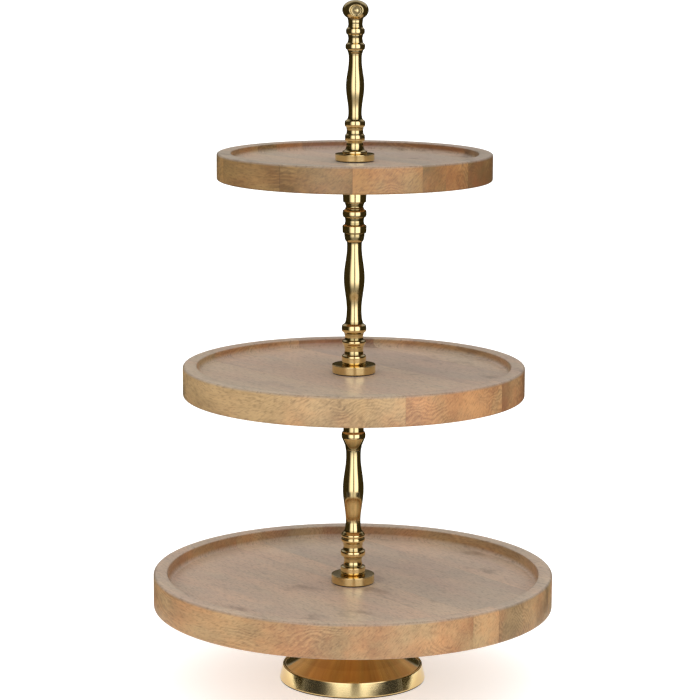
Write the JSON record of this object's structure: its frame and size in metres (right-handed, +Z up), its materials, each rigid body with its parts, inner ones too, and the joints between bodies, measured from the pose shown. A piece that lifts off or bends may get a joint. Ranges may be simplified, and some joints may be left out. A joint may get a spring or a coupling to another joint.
{
  "type": "tiered cake stand",
  "caption": "Tiered cake stand: round wooden trays clamped between turned brass stem sections that unscrew, on a flared brass foot, with a ball finial on top.",
  "frame": {"origin": "centre of the round foot's underside, on the table", "axes": "+Z up along the stems, which is the stand's axis of revolution and its longest side; -Y towards the viewer"},
  "size_m": [0.381, 0.381, 0.6484],
  "materials": {
    "wood": "turned hardwood, waxed, semi-gloss on the tray floors",
    "brass": "polished, lacquered",
    "steel": "zinc plated screw stock",
    "felt": "pressed felt, dark"
  },
  "bodies": {
    "base": {"foot": "brass", "foot_felt": "felt", "foot_stud": "steel", "foot_washer": "steel", "foot_nut": "steel"},
    "tier_bottom": {"tray_bottom": "wood"},
    "clamp_bottom": {"flange_bottom": "brass", "pad_bottom": "felt"},
    "column_lower": {"stem_lower": "brass", "seat_middle": "brass", "stud_middle": "steel"},
    "tier_middle": {"tray_middle": "wood"},
    "clamp_middle": {"flange_middle": "brass", "pad_middle": "felt"},
    "column_middle": {"stem_middle": "brass", "seat_top": "brass", "stud_top": "steel"},
    "tier_top": {"tray_top": "wood"},
    "clamp_top": {"flange_top": "brass", "pad_top": "felt"},
    "column_upper": {"stem_upper": "brass", "finial_stud": "steel", "finial": "brass"}
  },
  "joints": [
    {"name": "tray_bottom_lift", "type": "slide", "parent": "base", "child": "tier_bottom", "axis": [0, 0, 1], "range_m": [0, 0.005]},
    {"name": "stem_lower_rise", "type": "slide", "parent": "base", "child": "clamp_bottom", "axis": [0, 0, 1], "range_m": [0, 0.01]},
    {"name": "stem_lower_turn", "type": "hinge", "parent": "clamp_bottom", "child": "column_lower", "pos_m": [0, 0, 0.11], "axis": [0, 0, 1], "range_deg": [0, 2880]},
    {"name": "tray_middle_lift", "type": "slide", "parent": "column_lower", "child": "tier_middle", "axis": [0, 0, 1], "range_m": [0, 0.005]},
    {"name": "stem_middle_rise", "type": "slide", "parent": "column_lower", "child": "clamp_middle", "axis": [0, 0, 1], "range_m": [0, 0.01]},
    {"name": "stem_middle_turn", "type": "hinge", "parent": "clamp_middle", "child": "column_middle", "pos_m": [0, 0, 0.31], "axis": [0, 0, 1], "range_deg": [0, 2880]},
    {"name": "tray_top_lift", "type": "slide", "parent": "column_middle", "child": "tier_top", "axis": [0, 0, 1], "range_m": [0, 0.005]},
    {"name": "stem_upper_rise", "type": "slide", "parent": "column_middle", "child": "clamp_top", "axis": [0, 0, 1], "range_m": [0, 0.01]},
    {"name": "stem_upper_turn", "type": "hinge", "parent": "clamp_top", "child": "column_upper", "pos_m": [0, 0, 0.51], "axis": [0, 0, 1], "range_deg": [0, 2880]}
  ],
  "couplings": [
    {"joint": "stem_lower_rise", "follows": "stem_lower_turn", "m_per_rad": 0.00019894},
    {"joint": "tray_bottom_lift", "follows": "stem_lower_turn", "m_per_rad": 0.00009947},
    {"joint": "stem_middle_rise", "follows": "stem_middle_turn", "m_per_rad": 0.00019894},
    {"joint": "tray_middle_lift", "follows": "stem_middle_turn", "m_per_rad": 0.00009947},
    {"joint": "stem_upper_turn", "follows": "stem_upper_rise", "rad_per_m": 5026.5},
    {"joint": "tray_top_lift", "follows": "stem_upper_rise", "ratio": 0.5}
  ]
}
